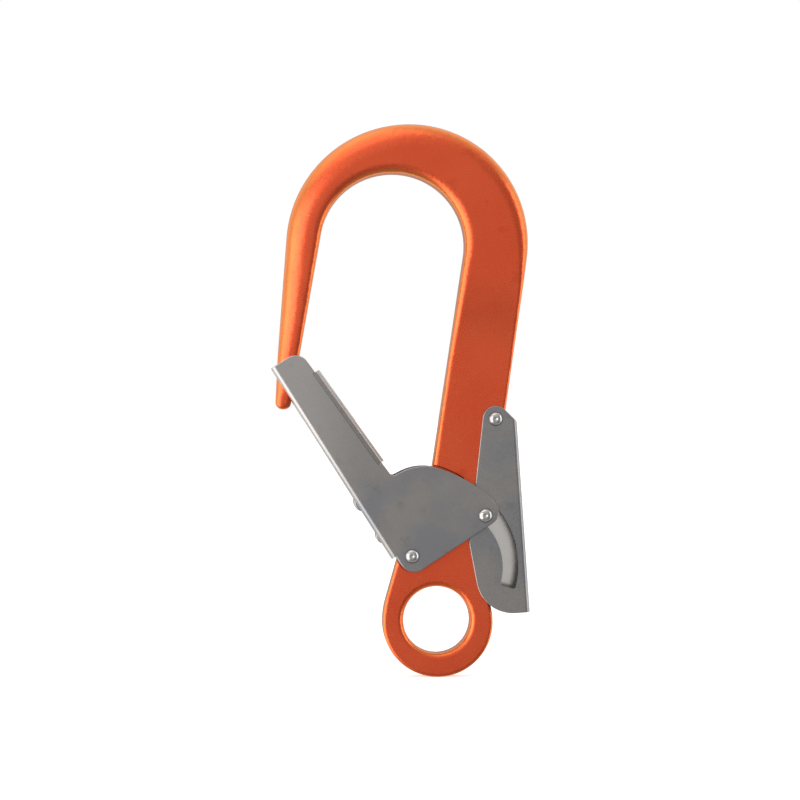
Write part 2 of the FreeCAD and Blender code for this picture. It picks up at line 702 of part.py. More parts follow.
def grip_rib(reach, length, height):
    """A pressed rib across the gate's web, hollow behind: (outside, hollow)."""
    web_v = -WEB_LINE_OFFSET - GATE_BEND_R
    radius = (length * length / 4 + height * height) / (2 * height)
    centre = arm_point(reach, web_v + radius - height)
    half = GRIP_RIB_WIDTH / 2
    span = (reach - length, reach + length)
    outside = cylinder(centre, radius, -half, half)
    outside = outside.common(arm_slab(*span, GRIP_RIB_OUT, web_v + GRIP_RIB_FOOT, half))
    ends = [e for y in (-half, half) for e in face_edges(outside, y) if hasattr(e.Curve, "Radius")]
    outside = outside.makeFillet(height * GRIP_RIB_EDGE, ends)
    hollow = cylinder(centre, radius - SHEET * GRIP_RIB_WALL, -half + SHEET, half - SHEET)
    return outside, hollow.common(arm_slab(*span, GRIP_RIB_OUT, web_v + SHEET + PAST, half))


def stud_centre():
    return polar(GATE_PIVOT, STUD_R_FROM_PIVOT, STUD_ANGLE)


def gate():
    plates = channel(arm_point(0, -WEB_LINE_OFFSET), unit(ARM_ANGLE), GATE_HALF, GATE_BEND_R, FAR)
    sheet = plates.common(gate_outline().prism(GATE_HALF + PAST))
    web_v = -WEB_LINE_OFFSET - GATE_BEND_R
    window_end = WINDOW_START + WINDOW_LENGTH
    window_v = -WEB_LINE_OFFSET - WINDOW_INNER
    sheet = sheet.cut(arm_slab(WINDOW_START, window_end, web_v - PAST, window_v, GATE_HALF - GATE_BEND_R))
    sheet = soften(sheet, GATE_HALF)
    for side in (-1, 1):
        sheet = sheet.fuse(gate_lip(side))
    for rib in GRIP_RIBS:
        outside, hollow = grip_rib(*rib)
        sheet = sheet.fuse(outside).cut(hollow)
    front = -GATE_HALF - PAST
    sheet = sheet.cut(cylinder(GATE_PIVOT, RIVET_R + RUNNING, front, GATE_HALF + PAST))
    sheet = sheet.cut(cylinder(stud_centre(), STUD_NECK_R + RUNNING, front, 0))
    for centre in (GATE_PIVOT, stud_centre()):
        sheet = sheet.cut(cylinder(centre, HEAD_RECESS_R, front, -GATE_HALF + HEAD_RECESS_DEPTH))
    return sheet.removeSplitter()


def lever_slot():
    (centre_in, r_in), (centre_out, r_out) = SLOT_INNER, SLOT_OUTER
    top_in = from_inside(centre_out, unit(SLOT_TOP_ANGLE), centre_in, r_in)
    bottom_in = from_inside(centre_out, unit(SLOT_BOTTOM_ANGLE), centre_in, r_in)
    top_out = polar(centre_out, r_out, SLOT_TOP_ANGLE)
    bottom_out = polar(centre_out, r_out, SLOT_BOTTOM_ANGLE)
    o = Outline(bottom_in)
    o.line(bottom_out)
    o.arc(centre_out, r_out, SLOT_BOTTOM_ANGLE, SLOT_TOP_ANGLE)
    o.line(top_in)
    o.arc(centre_in, r_in, angle_of(centre_in, top_in), angle_of(centre_in, bottom_in))
    slot = o.prism(0, -LEVER_HALF - PAST)
    return slot.makeFillet(SLOT_CORNER, cross_edges(slot, [bottom_in, bottom_out, top_in, top_out]))


def from_inside(p, d, centre, radius):
    """Where the line that starts inside a circle leaves it."""
    px = p[0] - centre[0]
    pz = p[1] - centre[1]
    b = px * d[0] + pz * d[1]
    return along(p, d, -b + math.sqrt(b * b - px * px - pz * pz + radius * radius))


def lock_lever():
    top = tangent_corner(LEVER_PIVOT, LEVER_TOP_R, LEVER_SLOPE_NORMAL, LEVER_LEFT_NORMAL)
    slope = polar(LEVER_PIVOT, LEVER_TOP_R, LEVER_SLOPE_NORMAL)
    lower = polar(HEEL_CENTRE, HEEL_R, LEVER_LOWER_NORMAL)
    knee = meet(top, unit(LEVER_LEFT_NORMAL + 90), lower, unit(LEVER_LOWER_NORMAL + 90))
    heel = tangent_corner(HEEL_CENTRE, HEEL_R, LEVER_LOWER_NORMAL, LEVER_BOTTOM_NORMAL)
    bottom = polar(HEEL_CENTRE, HEEL_R, LEVER_BOTTOM_NORMAL)
    slope_dir = unit(LEVER_SLOPE_NORMAL - 90)
    bottom_dir = unit(LEVER_BOTTOM_NORMAL + 90)
    corners = [
        (*top, LEVER_TOP_R),
        (*along(slope, slope_dir, (LEVER_RIGHT_X - slope[0]) / slope_dir[0]), 0),
        (*along(bottom, bottom_dir, (LEVER_RIGHT_X - bottom[0]) / bottom_dir[0]), 0),
        (*heel, HEEL_R),
        (*knee, LEVER_KNEE_ROUND),
    ]
    down = (LEVER_WEB_BOTTOM[0] - LEVER_WEB_TOP[0], LEVER_WEB_BOTTOM[1] - LEVER_WEB_TOP[1])
    down = along((0.0, 0.0), down, 1 / math.hypot(*down))
    plates = channel(LEVER_WEB_TOP, down, LEVER_HALF, LEVER_BEND_R, FAR)
    sheet = plates.common(rounded_outline(corners).prism(LEVER_HALF + PAST))
    sheet = soften(sheet, LEVER_HALF)
    sheet = sheet.cut(lever_slot())
    front = -LEVER_HALF - PAST
    sheet = sheet.cut(cylinder(LEVER_PIVOT, RIVET_R + RUNNING, front, LEVER_HALF + PAST))
    sheet = sheet.cut(cylinder(LEVER_PIVOT, HEAD_RECESS_R, front, -LEVER_HALF + HEAD_RECESS_DEPTH))
    return sheet.removeSplitter()


# ---------------------------------------------------------------- rivets, stud, sleeves, bushes, washers

def head_profile(base, side):
    """Half of a domed head with a small dimple, as (radius, y) edges from the base's rim to the axis."""
    top = base + side * RIVET_HEAD_H
    foot = Vector(RIVET_HEAD_R, base, 0)
    rim = Vector(RIVET_HEAD_R, base + side * HEAD_RIM_H, 0)
    shoulder = Vector(RIVET_HEAD_R * HEAD_SHOULDER[0], base + side * RIVET_HEAD_H * HEAD_SHOULDER[1], 0)
    dimple = Vector(DIMPLE_R, top - side * DIMPLE_LIP, 0)
    return [
        Part.LineSegment(foot, rim).toShape(),
        Part.Arc(rim, shoulder, dimple).toShape(),
        Part.LineSegment(dimple, Vector(0, top - side * DIMPLE_DEPTH, 0)).toShape(),
    ]


def domed_head(centre, base, side):
    edges = head_profile(base, side)
    top = edges[-1].Vertexes[-1].Point
    edges.append(Part.LineSegment(top, Vector(0, base, 0)).toShape())
    edges.append(Part.LineSegment(Vector(0, base, 0), Vector(RIVET_HEAD_R, base, 0)).toShape())
    head = Part.Face(Part.Wire(Part.__sortEdges__(edges))).revolve(Vector(0, 0, 0), ACROSS, 360)
    return head.translated(at(centre))


def formed_head(centre, base):
    """The flatter head pressed on at the back."""
    head = cylinder(centre, RIVET_HEAD_R, base, base + FORMED_HEAD_H)
    rim = [e for e in face_edges(head, base + FORMED_HEAD_H) if hasattr(e.Curve, "Radius")]
    return head.makeFillet(FORMED_HEAD_ROUND, rim)


def pivot_rivet(centre, half):
    front = -half + HEAD_RECESS_DEPTH
    shank = cylinder(centre, RIVET_R, front, half)
    return shank.fuse(domed_head(centre, front, -1)).fuse(formed_head(centre, half)).removeSplitter()


def lock_stud():
    centre = stud_centre()
    front = -GATE_HALF + HEAD_RECESS_DEPTH
    neck = cylinder(centre, STUD_NECK_R, front, 0)
    barrel = cylinder(centre, STUD_BODY_R, -STUD_BODY_HALF, STUD_BODY_HALF)
    rims = [e for y in (-STUD_BODY_HALF, STUD_BODY_HALF) for e in face_edges(barrel, y)]
    barrel = barrel.makeFillet(STUD_EDGE, [e for e in rims if hasattr(e.Curve, "Radius")])
    return neck.fuse(domed_head(centre, front, -1)).fuse(barrel).removeSplitter()


def tube(centre, outer, inner, low, high):
    """A plain ring with small chamfers at both ends of its outside."""
    shape = ring(centre, outer, inner, low, high)
    rims = [e for y in (low, high) for e in face_edges(shape, y)
            if hasattr(e.Curve, "Radius") and abs(e.Curve.Radius - outer) < 1e-3]
    return shape.makeChamfer(RING_CHAMFER, rims)


# ---------------------------------------------------------------- springs

def ball(point, wire_r):
    """A bend in the wire, a hair thicker than the wire itself."""
    return Part.makeSphere(wire_r + BEND_EXTRA, point)


def rod(first, second, radius):
    span = second - first
    return Part.makeCylinder(radius, span.Length, first, span)


def bent_wire(points, radius):
    """Round wire through these points, with a ball at each bend."""
    shape = rod(points[0], points[1], radius)
    for i in range(1, len(points) - 1):
        shape = shape.fuse(ball(points[i], radius))
        shape = shape.fuse(rod(points[i], points[i + 1], radius))
    return shape


def coil(centre, radius, wire_r, from_y, to_y, start_angle, turns):
    """A helix about the Y direction, from start_angle, as a solid of round wire."""
    height = abs(to_y - from_y)
    helix = Part.makeHelix(height / turns, height, radius)
    circle = Part.Wire(Part.makeCircle(wire_r, Vector(radius, 0, 0), Vector(0, 1, 0)))
    solid = Part.Wire(helix.Edges).makePipeShell([circle], True, True)
    if to_y < from_y:
        solid = solid.mirror(Vector(0, 0, 0), Vector(0, 0, 1))
    solid.rotate(Vector(0, 0, 0), Vector(1, 0, 0), -90)
    solid.rotate(Vector(0, 0, 0), ACROSS, -start_angle)
    return solid.translated(at(centre, from_y))


def gate_return_spring():
    """A double torsion spring: two coils on the pivot boss, joined by a bail behind the gate's web."""
    bail_angle = ARM_ANGLE + 90
    shape = None
    bail = []
    for side in (-1, 1):
        outer = side * BAIL_Y
        inner = side * (GATE_COIL_FLOOR + GATE_WIRE_R + CLEARANCE)
        wound = coil(GATE_PIVOT, GATE_COIL_R, GATE_WIRE_R, outer, inner, bail_angle, GATE_COIL_TURNS)
        start = at(polar(GATE_PIVOT, GATE_COIL_R, bail_angle), outer)
        bail.append((start, at(arm_point(BAIL_REACH, -GATE_COIL_R - BAIL_GAP), outer)))
        anchor = polar(GATE_PIVOT, GATE_COIL_R, ANCHOR_ANGLE)
        tip = along(anchor, unit(ANCHOR_ANGLE + 90), ANCHOR_LENGTH)
        leg = bent_wire([at(anchor, inner), at(tip, inner)], GATE_WIRE_R)
        wound = wound.fuse(ball(at(anchor, inner), GATE_WIRE_R)).fuse(leg)
        wound = wound.fuse(ball(start, GATE_WIRE_R))
        shape = wound if shape is None else shape.fuse(wound)
    path = [bail[0][0], bail[0][1], bail[1][1], bail[1][0]]
    return shape.fuse(bent_wire(path, GATE_WIRE_R))


def lever_return_spring():
    """A torsion spring round the lever's pivot, between the body and the lever's web."""
    inner = LEVER_COIL_FLOOR + LEVER_WIRE_R + CLEARANCE
    outer = inner + LEVER_COIL_TURNS * 2 * LEVER_WIRE_R * LEVER_COIL_SPACING
    wound = coil(LEVER_PIVOT, LEVER_COIL_R, LEVER_WIRE_R, outer, inner, LEVER_LEG_ANGLE, LEVER_COIL_TURNS)
    start = polar(LEVER_PIVOT, LEVER_COIL_R, LEVER_LEG_ANGLE)
    tip = along(start, unit(LEVER_LEG_ANGLE - 90), LEVER_LEG_LENGTH)
    anchor = polar(LEVER_PIVOT, LEVER_COIL_R, LEVER_ANCHOR_ANGLE)
    foot = along(anchor, unit(LEVER_ANCHOR_ANGLE + 90), LEVER_ANCHOR_LENGTH)
    wound = wound.fuse(ball(at(start, outer), LEVER_WIRE_R))
    wound = wound.fuse(rod(at(start, outer), at(tip, outer), LEVER_WIRE_R))
    wound = wound.fuse(ball(at(anchor, inner), LEVER_WIRE_R))
    return wound.fuse(rod(at(anchor, inner), at(foot, inner), LEVER_WIRE_R))


def hardware():
    """The turned and stamped small parts, as node name and shape."""
    gate_gap = GATE_HALF - SHEET - RUNNING
    lever_gap = LEVER_HALF - SHEET - RUNNING
    boss = SHANK_HALF
    thrust = SHANK_HALF + RUNNING
    return {
        "gate_pivot_rivet": pivot_rivet(GATE_PIVOT, GATE_HALF),
        "gate_pivot_sleeve": tube(GATE_PIVOT, SLEEVE_R, RIVET_R + RUNNING, -gate_gap, gate_gap),
        "gate_pivot_bush": tube(GATE_PIVOT, BUSH_R, SLEEVE_R + RUNNING, -boss, boss),
        "gate_thrust_washer_front": tube(GATE_PIVOT, WASHER_R, SLEEVE_R + 2 * RUNNING, -gate_gap, -thrust),
        "gate_thrust_washer_back": tube(GATE_PIVOT, WASHER_R, SLEEVE_R + 2 * RUNNING, thrust, gate_gap),
        "lock_stud": lock_stud(),
        "lever_pivot_rivet": pivot_rivet(LEVER_PIVOT, LEVER_HALF),
        "lever_pivot_sleeve": tube(LEVER_PIVOT, SLEEVE_R, RIVET_R + RUNNING, -lever_gap, lever_gap),
        "lever_pivot_bush": tube(
            LEVER_PIVOT, BUSH_R, SLEEVE_R + RUNNING, -LEVER_WASHER_FLOOR, LEVER_COIL_FLOOR),
        "lever_thrust_washer_front": tube(
            LEVER_PIVOT, LEVER_WASHER_R, SLEEVE_R + 2 * RUNNING, -lever_gap, -LEVER_WASHER_FLOOR),
        "lever_thrust_washer_back": tube(
            LEVER_PIVOT, LEVER_BACK_WASHER_R, SLEEVE_R + 2 * RUNNING, BACK_WASHER_FROM, lever_gap),
    }


def save(shape, node):
    solids = shape.Solids
    whole = solids[0] if len(solids) == 1 else Part.makeCompound(solids)
    whole.exportStep("parts/" + node + ".step")
    print(node, len(solids), shape.isValid(), round(shape.Volume, 1))


def main():
    os.makedirs("parts", exist_ok=True)
    save(hook_body(), "hook_body")
    save(gate(), "gate")
    save(lock_lever(), "lock_lever")
    for node, shape in hardware().items():
        save(shape, node)
    save(gate_return_spring(), "gate_return_spring")
    save(lever_return_spring(), "lever_return_spring")


main()
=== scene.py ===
"""A scaffold snap hook: an anodised forging, a folded steel gate and a folded steel lock lever."""

import json
import math

import bpy
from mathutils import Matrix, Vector


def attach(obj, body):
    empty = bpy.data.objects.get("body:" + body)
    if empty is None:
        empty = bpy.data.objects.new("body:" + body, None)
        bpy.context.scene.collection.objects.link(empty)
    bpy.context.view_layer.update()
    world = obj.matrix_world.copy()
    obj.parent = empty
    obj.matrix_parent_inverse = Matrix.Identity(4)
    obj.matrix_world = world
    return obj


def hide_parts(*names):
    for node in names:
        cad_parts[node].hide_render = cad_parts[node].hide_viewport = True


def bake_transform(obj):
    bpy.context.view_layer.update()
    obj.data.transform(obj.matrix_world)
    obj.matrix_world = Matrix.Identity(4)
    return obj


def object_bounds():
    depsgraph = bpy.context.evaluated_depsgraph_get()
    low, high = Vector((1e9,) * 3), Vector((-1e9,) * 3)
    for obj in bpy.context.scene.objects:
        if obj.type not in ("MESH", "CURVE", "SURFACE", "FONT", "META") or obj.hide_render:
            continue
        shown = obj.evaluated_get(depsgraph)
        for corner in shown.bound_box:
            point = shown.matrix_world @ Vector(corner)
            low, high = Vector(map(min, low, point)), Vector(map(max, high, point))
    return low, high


MM = 0.001

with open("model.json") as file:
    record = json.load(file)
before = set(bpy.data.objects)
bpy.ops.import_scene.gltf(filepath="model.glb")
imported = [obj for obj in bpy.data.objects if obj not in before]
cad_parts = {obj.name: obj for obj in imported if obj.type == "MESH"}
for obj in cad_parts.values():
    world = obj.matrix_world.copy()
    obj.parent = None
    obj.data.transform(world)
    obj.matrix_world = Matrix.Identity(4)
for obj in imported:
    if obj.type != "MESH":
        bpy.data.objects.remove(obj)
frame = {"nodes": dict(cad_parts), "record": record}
cad_low, cad_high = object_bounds()
nodes = frame["nodes"]
scene = bpy.context.scene


# ---------------------------------------------------------------- node helpers

def new_material(name):
    """A node material with one Principled shader, its tree and that shader."""
    material = bpy.data.materials.new(name)
    material.use_nodes = True
    tree = material.node_tree
    return material, tree, tree.nodes["Principled BSDF"]


def link(tree, source, target):
    tree.links.new(source, target)


def place(tree):
    """The object's own coordinates, in metres."""
    return tree.nodes.new("ShaderNodeTexCoord").outputs["Object"]


def stretched(tree, vector, scale, rotation=(0, 0, 0)):
    node = tree.nodes.new("ShaderNodeMapping")
    node.inputs["Scale"].default_value = scale
    node.inputs["Rotation"].default_value = rotation
    link(tree, vector, node.inputs["Vector"])
    return node.outputs["Vector"]


def noise(tree, vector, size, detail=2.0, roughness=0.5):
    """Noise whose blobs are about size metres across, from 0 to 1."""
    node = tree.nodes.new("ShaderNodeTexNoise")
    node.inputs["Scale"].default_value = 1 / size
    node.inputs["Detail"].default_value = detail
    node.inputs["Roughness"].default_value = roughness
    link(tree, vector, node.inputs["Vector"])
    return node.outputs["Fac"]


def mapped(tree, value, from_low, from_high, to_low, to_high, smooth=True):
    node = tree.nodes.new("ShaderNodeMapRange")
    node.interpolation_type = "SMOOTHSTEP" if smooth else "LINEAR"
    for name, number in (("From Min", from_low), ("From Max", from_high),
                         ("To Min", to_low), ("To Max", to_high)):
        node.inputs[name].default_value = number
    link(tree, value, node.inputs["Value"])
    return node.outputs["Result"]


def math_node(tree, operation, first, second):
    node = tree.nodes.new("ShaderNodeMath")
    node.operation = operation
    for socket, value in zip(node.inputs, (first, second)):
        if isinstance(value, (int, float)):
            socket.default_value = value
        else:
            link(tree, value, socket)
    return node.outputs["Value"]


def mixed(tree, share, first, second):
    """Colour first where share is 0, second where it is 1."""
    node = tree.nodes.new("ShaderNodeMix")
    node.data_type = "RGBA"
    link(tree, share, node.inputs["Factor"])
    for name, value in (("A", first), ("B", second)):
        socket = [s for s in node.inputs if s.name == name and s.type == "RGBA"][0]
        if isinstance(value, tuple):
            socket.default_value = (*value, 1)
        else:
            link(tree, value, socket)
    return [s for s in node.outputs if s.type == "RGBA"][0]


def bumped(tree, height, depth, strength=1.0, below=None):
    node = tree.nodes.new("ShaderNodeBump")
    node.inputs["Strength"].default_value = strength
    node.inputs["Distance"].default_value = depth
    link(tree, height, node.inputs["Height"])
    if below is not None:
        link(tree, below, node.inputs["Normal"])
    return node.outputs["Normal"]


# ---------------------------------------------------------------- materials

def split_place(tree, where):
    """The X, Y and Z of a place, each as a socket."""
    node = tree.nodes.new("ShaderNodeSeparateXYZ")
    link(tree, where, node.inputs[0])
    return [node.outputs[axis] for axis in "XYZ"]


def off_the_flat(tree, full):
    """0 on the hook's flat faces, 1 where the rounding has turned at least that far out of them."""
    normal = tree.nodes.new("ShaderNodeNewGeometry").outputs["Normal"]
    flatness = math_node(tree, "ABSOLUTE", split_place(tree, normal)[1], 0)
    return mapped(tree, flatness, 1, full, 0, 1)


def scratches(tree, where, tilt, amount):
    """A few hair-fine scratches lying one way, as a share from 0 to amount."""
    turned = stretched(tree, where, (1, 1, 1), (0, math.radians(tilt), 0))
    lines = noise(tree, stretched(tree, turned, (1, 1, 0.035)), 0.22 * MM, 1)
    patch = noise(tree, where, 7 * MM, 1)
    fine = mapped(tree, lines, 0.74, 0.80, 0, amount)
    return math_node(tree, "MULTIPLY", fine, mapped(tree, patch, 0.52, 0.62, 0, 1))


# The share of the surface's direction along Y at which the painted golden highlight on the orange is full
GOLDEN_HIGHLIGHT_FROM = 0.65


def anodised_aluminium():
    """Bead-blasted, then dyed orange: red on the flat faces, with a painted golden highlight along the
    rounded edges.
    """
    material, tree, shader = new_material("anodised_orange")
    where = place(tree)
    grain = noise(tree, where, 0.32 * MM, 3)
    cloud = noise(tree, where, 22 * MM, 3)
    tone = mapped(tree, cloud, 0.3, 0.7, 0, 1)
    flat = mixed(tree, tone, (0.95, 0.104, 0.038), (1.0, 0.126, 0.045))
    # Painted highlight: the rounded edges are coloured golden, standing in for the highlights they catch
    golden_highlight = mixed(tree, tone, (0.72, 0.215, 0.048), (0.80, 0.240, 0.056))
    colour = mixed(tree, off_the_flat(tree, GOLDEN_HIGHLIGHT_FROM), flat, golden_highlight)
    speck = mapped(tree, grain, 0.42, 0.70, 0, 0.38)
    colour = mixed(tree, speck, colour, (1.0, 0.27, 0.09))
    pit = mapped(tree, grain, 0.38, 0.26, 0, 0.22)
    colour = mixed(tree, pit, colour, (0.62, 0.058, 0.020))
    stain = mapped(tree, noise(tree, where, 11 * MM, 4, 0.6), 0.60, 0.72, 0, 0.35)
    colour = mixed(tree, stain, colour, (0.70, 0.065, 0.022))
    colour = mixed(tree, scratches(tree, where, 75, 0.5), colour, (1.0, 0.45, 0.22))
    link(tree, colour, shader.inputs["Base Color"])
    shader.inputs["Metallic"].default_value = 1.0
    rough = mapped(tree, grain, 0.3, 0.7, 0.26, 0.36)
    link(tree, rough, shader.inputs["Roughness"])
    shader.inputs["Coat Weight"].default_value = 0.2
    shader.inputs["Coat Roughness"].default_value = 0.3
    wave = noise(tree, where, 9 * MM, 2)
    normal = bumped(tree, wave, 0.10 * MM, 0.5)
    normal = bumped(tree, grain, 0.03 * MM, 0.5, normal)
    link(tree, normal, shader.inputs["Normal"])
    return material


# The rear cheek's inner face, where the painted reflection goes, and the stretch along X over which the
# gate's arm is painted lighter, as painted light
LEVER_REAR_Y = 5.9 * MM
ARM_PAINTED_LIGHT_START_X = -28 * MM
ARM_PAINTED_LIGHT_FULL_X = -60 * MM


def sheet_steel():
    """Tumbled sheet outside; the rear cheek's inner face, seen through the lever's slot, is painted bright
    as a painted reflection.
    """
    material, tree, shader = new_material("tumbled_sheet_steel")
    where = place(tree)
    x, y = split_place(tree, where)[:2]
    grain = noise(tree, where, 0.28 * MM, 4, 0.6)
    drift = noise(tree, where, 24 * MM, 3, 0.55)
    colour = mixed(tree, mapped(tree, drift, 0.38, 0.62, 0, 1), (0.295, 0.298, 0.312), (0.37, 0.345, 0.325))
    # Painted light: the gate's arm is painted lighter towards its far end, standing in for the brighter
    # light falling there
    arm_painted_light = mapped(tree, x, ARM_PAINTED_LIGHT_START_X, ARM_PAINTED_LIGHT_FULL_X, 0, 0.9)
    colour = mixed(tree, arm_painted_light, colour, (0.52, 0.49, 0.465))
    speck = mapped(tree, grain, 0.42, 0.72, 0, 0.45)
    colour = mixed(tree, speck, colour, (0.52, 0.51, 0.50))
    pit = mapped(tree, grain, 0.38, 0.26, 0, 0.25)
    colour = mixed(tree, pit, colour, (0.18, 0.18, 0.18))
    smear = mapped(tree, noise(tree, where, 9 * MM, 4, 0.6), 0.56, 0.72, 0, 0.35)
    colour = mixed(tree, smear, colour, (0.24, 0.205, 0.175))
    for tilt in (35, -50):
        colour = mixed(tree, scratches(tree, where, tilt, 0.6), colour, (0.62, 0.61, 0.60))
    # Painted reflection: the rear cheek's inner face, seen through the lever's slot, is painted near white
    # and made glossier
    normal = tree.nodes.new("ShaderNodeNewGeometry").outputs["Normal"]
    faces_front = mapped(tree, split_place(tree, normal)[1], -0.5, -0.9, 0, 1)
    behind = mapped(tree, y, LEVER_REAR_Y - 0.2 * MM, LEVER_REAR_Y, 0, 1)
    painted_reflection = math_node(tree, "MULTIPLY", faces_front, behind)
    colour = mixed(tree, painted_reflection, colour, (0.86, 0.82, 0.78))
    link(tree, colour, shader.inputs["Base Color"])
    shader.inputs["Metallic"].default_value = 1.0
    rough = mapped(tree, grain, 0.3, 0.7, 0.26, 0.38)
    rough = math_node(tree, "SUBTRACT", rough, math_node(tree, "MULTIPLY", painted_reflection, 0.14))
    link(tree, rough, shader.inputs["Roughness"])
    link(tree, bumped(tree, grain, 0.025 * MM, 0.6), shader.inputs["Normal"])
    return material


def polished_steel():
    """Burnished rivet steel, with grime and painted shade in the head's dimple and under its rim."""
    material, tree, shader = new_material("polished_rivet_steel")
    where = place(tree)
    grain = noise(tree, where, 0.5 * MM, 3)
    colour = mixed(tree, mapped(tree, grain, 0.4, 0.7, 0, 1), (0.56, 0.54, 0.52), (0.70, 0.68, 0.66))
    # Grime and painted shade: darkened where ambient occlusion finds the dimple and the hollow under the rim
    occlusion = tree.nodes.new("ShaderNodeAmbientOcclusion")
    occlusion.inputs["Distance"].default_value = 1.2 * MM
    grime_and_painted_shade = mapped(tree, occlusion.outputs["AO"], 0.92, 0.45, 0, 0.85)
    colour = mixed(tree, grime_and_painted_shade, colour, (0.075, 0.062, 0.050))
    link(tree, colour, shader.inputs["Base Color"])
    shader.inputs["Metallic"].default_value = 1.0
    link(tree, mapped(tree, grain, 0.3, 0.7, 0.12, 0.22), shader.inputs["Roughness"])
    link(tree, bumped(tree, grain, 0.01 * MM, 0.4), shader.inputs["Normal"])
    return material


def turned_metal(name, dark, light, roughness):
    """Fine rings about the piece's own Y axis."""
    material, tree, shader = new_material(name)
    where = place(tree)
    rings = noise(tree, stretched(tree, where, (0.05, 6, 0.05)), 0.5 * MM, 3)
    link(tree, mixed(tree, mapped(tree, rings, 0.35, 0.65, 0, 1), dark, light), shader.inputs["Base Color"])
    shader.inputs["Metallic"].default_value = 1.0
    link(tree, mapped(tree, rings, 0.3, 0.7, roughness - 0.05, roughness + 0.07), shader.inputs["Roughness"])
    link(tree, bumped(tree, rings, 0.015 * MM, 0.5), shader.inputs["Normal"])
    return material


looks = {
    "anodised_aluminium": anodised_aluminium(),
    "sheet_steel": sheet_steel(),
    "rivet_steel": polished_steel(),
    "turned_steel": turned_metal("turned_steel", (0.42, 0.42, 0.42), (0.56, 0.56, 0.55), 0.3),
    "bronze": turned_metal("sintered_bronze", (0.45, 0.27, 0.12), (0.60, 0.38, 0.18), 0.4),
    "spring_steel": turned_metal("drawn_spring_steel", (0.24, 0.24, 0.25), (0.36, 0.36, 0.36), 0.32),
}


# ---------------------------------------------------------------- CAD nodes

SHARP_ANGLE = math.radians(28)
WELD_DISTANCE = 0.0005 * MM


def smooth(piece):
    """Round faces shade round and flat ones flat, with hard edges kept."""
    for face in piece.data.polygons:
        face.use_smooth = True
    weld = piece.modifiers.new("weld", "WELD")
    weld.merge_threshold = WELD_DISTANCE
    split = piece.modifiers.new("split", "EDGE_SPLIT")
    split.split_angle = SHARP_ANGLE
    split.use_edge_sharp = False
    weighted = piece.modifiers.new("weighted", "WEIGHTED_NORMAL")
    weighted.mode = "FACE_AREA_WITH_ANGLE"


slot_of = {s["node"]: s["material_slot"] for s in frame["record"]["subparts"]}
for name, node in nodes.items():
    node.data.materials.clear()
    node.data.materials.append(looks[slot_of[name]])
    smooth(node)


# ---------------------------------------------------------------- springs

TURN = 360
WIRE_SIDES = 14
POINTS_PER_TURN = 40
CORNER_STEPS = 6
CUT_END_CHAMFER = 0.2
GATE_WIRE = 0.6 * MM
GATE_COIL = 5.6 * MM
GATE_COIL_OUTER = 7.1 * MM
GATE_COIL_INNER = 4.0 * MM
ARM_ANGLE = 122.4
BAIL_REACH = 22 * MM
BAIL_GAP = 0.3 * MM
BAIL_CORNER = 2 * MM
ANCHOR_ANGLE = -20
GATE_COIL_END = ANCHOR_ANGLE + 3 * TURN
ANCHOR_LENGTH = 13 * MM
LEVER_WIRE = 0.45 * MM
LEVER_COIL = 4.5 * MM
LEVER_COIL_OUTER = 5.18 * MM
LEVER_COIL_INNER = 2.75 * MM
LEVER_LEG_ANGLE = 20
LEVER_LEG = 10 * MM
LEVER_FOOT = 8.5 * MM
LEVER_FOOT_WAY = -90
LEVER_COIL_END = 180 + 2 * TURN

pivots = {j["name"]: Vector(j["pos_m"]) for j in frame["record"]["behaviour"]["joints"]}


def around(pivot, radius, degrees, y):
    """The point at that angle in the XZ plane from the pivot, at that Y."""
    angle = math.radians(degrees)
    return Vector((pivot.x + radius * math.cos(angle), y, pivot.z + radius * math.sin(angle)))


def way(degrees):
    return Vector((math.cos(math.radians(degrees)), 0, math.sin(math.radians(degrees))))


def winding(pivot, radius, from_angle, to_angle, from_y, to_y):
    """Points along a helix about Y."""
    count = round(abs(to_angle - from_angle) / TURN * POINTS_PER_TURN)
    points = []
    for i in range(count + 1):
        t = i / count
        angle = from_angle + (to_angle - from_angle) * t
        points.append(around(pivot, radius, angle, from_y + (to_y - from_y) * t))
    return points


def rounded_corner(before, corner, after, radius):
    """Points that take a wire round a corner on a soft bend."""
    first = corner + (before - corner).normalized() * radius
    last = corner + (after - corner).normalized() * radius
    points = []
    for i in range(CORNER_STEPS + 1):
        t = i / CORNER_STEPS
        points.append(first * (1 - t) ** 2 + corner * 2 * t * (1 - t) + last * t ** 2)
    return points


def wire_sections(path, radius):
    """Along the path: each section's centre, its two directions and its radius, with no twist between."""
    ways = []
    for i in range(len(path)):
        ahead = path[min(i + 1, len(path) - 1)] - path[max(i - 1, 0)]
        ways.append(ahead.normalized())
    side = ways[0].orthogonal().normalized()
    sections = []
    for point, forward in zip(path, ways):
        side = (side - forward * side.dot(forward)).normalized()
        sections.append((point, forward, side, radius))
    chamfer = CUT_END_CHAMFER * radius
    first, last = sections[0], sections[-1]
    sections.insert(0, (first[0] - first[1] * chamfer, first[1], first[2], radius - chamfer))
    sections.append((last[0] + last[1] * chamfer, last[1], last[2], radius - chamfer))
    return sections


